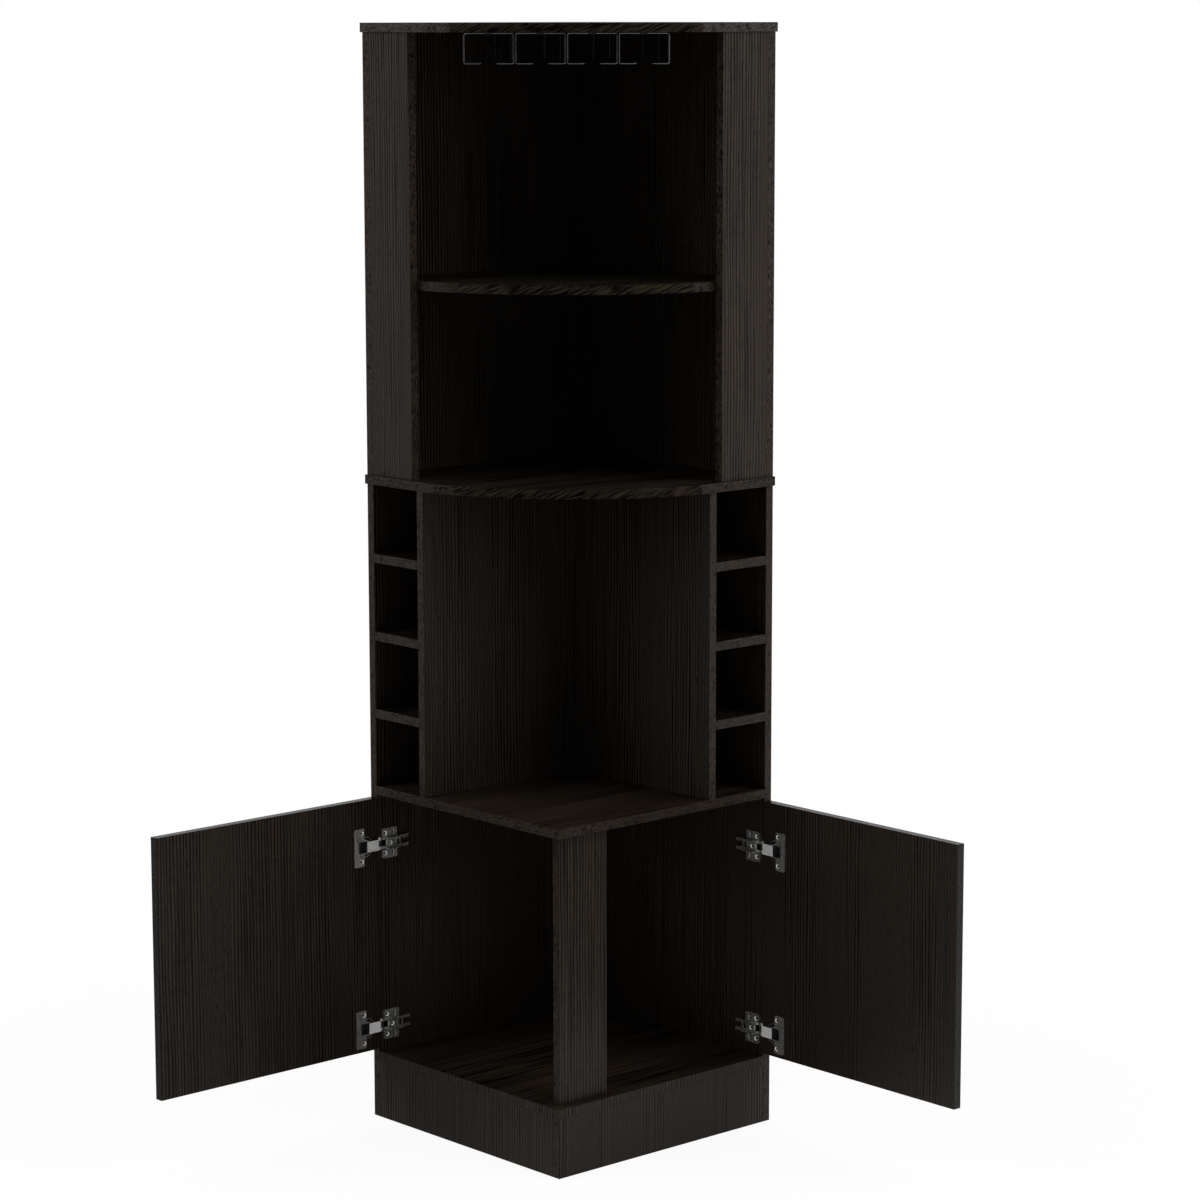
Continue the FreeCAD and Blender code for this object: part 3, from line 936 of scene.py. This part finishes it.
@dataclass
class Hinge:
    """One hinge: plate and arm on the wall, cup and arm on the door.

    The pieces on the door keep their nickel to the depths in fronts and are painted dark behind,
    as painted shade. Faces of the plate farther in than rim are walls of its holes, and a face
    that looks forwards by between sink_low and sink_high is a countersink; both are painted
    near-white as a painted highlight.
    """

    hand: Hand
    level: Level
    easing: float = 0.00025
    shortest: float = 0.0005
    fronts: dict[str, float] = field(
        default_factory=lambda: {"cup": 0.0018, "door_arm": 0.0034}
    )
    rim: float = 0.0015
    sink_low: float = 0.62
    sink_high: float = 0.78
    finishes: dict[str, list[Finish]] = field(
        default_factory=lambda: {
            "plate": [PLATE_NICKEL, HOLE_HIGHLIGHT],
            "wall_arm": [WALL_ARM_NICKEL, HOLE_HIGHLIGHT],
            "cup": [NICKEL, CUP_SHADE, HOLE_HIGHLIGHT],
            "door_arm": [ARM_NICKEL, CUP_SHADE],
        }
    )

    @property
    def way(self) -> Vector:
        """The way that the hinge's fronts look."""
        return HINGE_FRONT[self.hand].way

    def build(self) -> list[bpy.types.Object]:
        """Makes the four pressed pieces, with painted shade in the cup and behind the door arm's
        front.

        Returns:
            The finished pieces.
        """
        pieces = []
        for name, finishes in self.finishes.items():
            node = f"{self.hand.value}_{self.level.value}_hinge_{name}"
            copy = EasedCopy(node, self.easing, self.shortest)
            mesh = copy.shaped()
            if name in self.fronts:
                self.shade_back(mesh, self.fronts[name], finishes.index(CUP_SHADE))
            if name == "plate":
                self.highlight_holes(mesh, finishes.index(HOLE_HIGHLIGHT))
            if HOLE_HIGHLIGHT in finishes:
                self.highlight_sinks(mesh, finishes.index(HOLE_HIGHLIGHT))
            pieces.append(copy.finished(mesh, finishes))
        return pieces

    def shade_back(self, mesh: bmesh.types.BMesh, front: float, number: int) -> None:
        """Gives the faces behind the flange the near-black finish, as painted shade.

        Args:
            mesh: The mesh of a piece on the door.
            front: How deep its bright front goes.
            number: The painted shade's number on the piece.
        """
        limit = max(vertex.co.dot(self.way) for vertex in mesh.verts) - front
        for face in mesh.faces:
            if face.calc_center_median().dot(self.way) < limit:
                face.material_index = number

    def highlight_holes(self, mesh: bmesh.types.BMesh, number: int) -> None:
        """Gives the walls of the plate's holes the near-white finish, as a painted highlight.

        Args:
            mesh: The plate's mesh.
            number: The painted highlight's number on the plate.
        """
        up = Grain.UPRIGHT.way
        spans = []
        for side in (self.way.cross(up), up):
            reaches = [vertex.co.dot(side) for vertex in mesh.verts]
            spans.append((side, min(reaches) + self.rim, max(reaches) - self.rim))
        for face in mesh.faces:
            middle = face.calc_center_median()
            inside = all(low < middle.dot(side) < high for side, low, high in spans)
            if inside and abs(face.normal.dot(self.way)) < HALF_ROOT:
                face.material_index = number

    def highlight_sinks(self, mesh: bmesh.types.BMesh, number: int) -> None:
        """Gives the countersinks of the screw holes the near-white finish, as a painted highlight.

        Args:
            mesh: The mesh of a piece with screw holes.
            number: The painted highlight's number on the piece.
        """
        for face in mesh.faces:
            if self.sink_low < face.normal.dot(self.way) < self.sink_high:
                face.material_index = number


@dataclass
class GlassRack:
    """Bent-wire lanes under the top, with their clips and screws."""

    lane_count: int = 4

    def dress(self) -> None:
        """Finishes the wires, the clips and their screws."""
        for lane in range(1, self.lane_count + 1):
            paint_node(f"glass_rack_lane_{lane}", RACK_CHROME)
        paint_node("rack_clips", RACK_CHROME)
        paint_node("rack_screws", SCREW_STEEL)


@dataclass
class Fasteners:
    """Screws, pins and dowels of the carcass and the hinges."""

    hinge_screws: tuple[str, ...] = ("hinge_plate_screws", "hinge_arm_screws")
    nickel: tuple[str, ...] = ("hinge_pins", "shelf_pins")

    def dress(self) -> None:
        """Finishes each group of fasteners."""
        for node in self.hinge_screws:
            HingeScrews(node).build()
        for node in self.nickel:
            paint_node(node, NICKEL)
        paint_node("connecting_screws", SCREW_STEEL)
        paint_node("dowels", BEECH)


@dataclass(frozen=True)
class Softbox:
    """A soft lamp that looks at the cabinet's middle.

    Its angles are in degrees: bearing 0 is the front, and 90 the right.
    """

    name: str
    bearing: float
    height_angle: float
    power: float
    distance: float = 3.2
    width: float = 2.2
    height: float = 2.6

    def hang(self, target: Vector) -> None:
        """Hangs the lamp.

        Args:
            target: The point that it looks at.
        """
        turn = math.radians(self.bearing)
        rise = math.radians(self.height_angle)
        level = math.cos(rise)
        away = Vector((math.sin(turn) * level, -math.cos(turn) * level, math.sin(rise)))
        data = bpy.data.lights.new(self.name, "AREA")
        data.shape = "RECTANGLE"
        data.size = self.width
        data.size_y = self.height
        data.energy = self.power
        lamp = bpy.data.objects.new(self.name, data)
        lamp.location = target + away * self.distance
        lamp.rotation_mode = "QUATERNION"
        lamp.rotation_quaternion = (-away).to_track_quat("-Z", "Y")
        lamp.visible_glossy = False
        bpy.context.scene.collection.objects.link(lamp)
        LOG.info("%s hung at bearing %g", self.name, self.bearing)


@dataclass
class Studio:
    """Pale floor, white surround, two soft lamps and the camera."""

    floor_radius: float = 3.0
    floor_drop: float = 0.0003
    floor_sides: int = 128
    # The surround: its soft fill, and how bright its left, right and front look in gloss.
    fill: float = 0.34
    left_dim: float = 0.50
    right_dim: float = 0.88
    flank_cut: Range = (-1.0, 1.0)
    front_dim: float = 0.04
    front_cut: Range = (-0.30, -0.10)
    middle: Vector = field(default_factory=lambda: Vector((0.0, 0.0, 0.9)))
    lamps: tuple[Softbox, ...] = (
        Softbox("left_softbox", bearing=-78.0, height_angle=28.0, power=76.0),
        Softbox("right_softbox", bearing=78.0, height_angle=28.0, power=95.0),
    )
    # The camera that was fitted to the photograph.
    eye: Vector = field(default_factory=lambda: Vector((0.3475, -5.8529, 1.8136)))
    yaw: float = math.radians(2.92)
    pitch: float = math.radians(9.126)
    roll: float = math.radians(-0.09)
    focal_pixels: float = 3650.6
    image_width: int = 1200
    sensor_width: float = 36.0

    def build(self) -> None:
        """Sets up everything round the cabinet."""
        bpy.context.scene.view_settings.view_transform = "Standard"
        self.lay_floor()
        self.light_surround()
        for lamp in self.lamps:
            lamp.hang(self.middle)
        self.set_camera()

    def lay_floor(self) -> None:
        """Lays a round floor under the plinth."""
        mesh = bmesh.new()
        drop = Matrix.Translation((0.0, 0.0, -self.floor_drop))
        bmesh.ops.create_circle(
            mesh, cap_ends=True, segments=self.floor_sides, radius=self.floor_radius, matrix=drop,
        )
        data = bpy.data.meshes.new("floor")
        mesh.to_mesh(data)
        mesh.free()
        data.materials.append(FLOOR.material())
        floor = bpy.data.objects.new("floor", data)
        bpy.context.scene.collection.objects.link(floor)

    def light_surround(self) -> None:
        """White to the eye and beside the cabinet, dim behind the camera, with a soft fill."""
        world = bpy.data.worlds.new("surround")
        bpy.context.scene.world = world
        world.use_nodes = True
        graph = Graph(world.node_tree)
        way = graph.make("ShaderNodeTexCoord", None, None, "Generated")
        aside = graph.part(way, "X")
        flanks = graph.spread(aside, *self.flank_cut, self.left_dim, self.right_dim)
        front = graph.spread(graph.part(way, "Y"), *self.front_cut, self.front_dim, 1.0)
        seen = graph.ray("Camera")
        mirrored = graph.spread(graph.ray("Glossy") + graph.ray("Transmission"), 0.0, 1.0)
        unseen = mirrored * (flanks * front) + (1 - mirrored) * self.fill
        strength = seen + (1 - seen) * unseen
        shader = graph.make("ShaderNodeBackground", None, {"Color": WHITE, "Strength": strength})
        graph.make("ShaderNodeOutputWorld", None, {"Surface": shader})

    def set_camera(self) -> None:
        """Stands the camera where the photograph was taken from."""
        ahead = Vector((-math.sin(self.yaw), math.cos(self.yaw), 0.0))
        aside = Vector((math.cos(self.yaw), math.sin(self.yaw), 0.0))
        up = Vector((0.0, 0.0, 1.0))
        look = math.cos(self.pitch) * ahead - math.sin(self.pitch) * up
        crown = math.sin(self.pitch) * ahead + math.cos(self.pitch) * up
        right = math.cos(self.roll) * aside + math.sin(self.roll) * crown
        top = math.cos(self.roll) * crown - math.sin(self.roll) * aside
        data = bpy.data.cameras.new("camera")
        data.sensor_width = self.sensor_width
        data.lens = self.focal_pixels * self.sensor_width / self.image_width
        camera = bpy.data.objects.new("camera", data)
        stance = Matrix((right, top, -look)).transposed().to_4x4()
        stance.translation = self.eye
        camera.matrix_world = stance
        bpy.context.scene.collection.objects.link(camera)
        bpy.context.scene.camera = camera


def main() -> None:
    """Builds and dresses the cabinet, then the studio round it."""
    logging.basicConfig(level=logging.INFO, format="%(name)s: %(message)s")
    Carcass().build()
    Cubbies().build()
    for hand in Hand:
        door = Door(hand)
        door.build()
        door.dress()
        for level in Level:
            Hinge(hand, level).build()
    GlassRack().dress()
    Fasteners().dress()
    Studio().build()


if __name__ == "__main__":
    main()
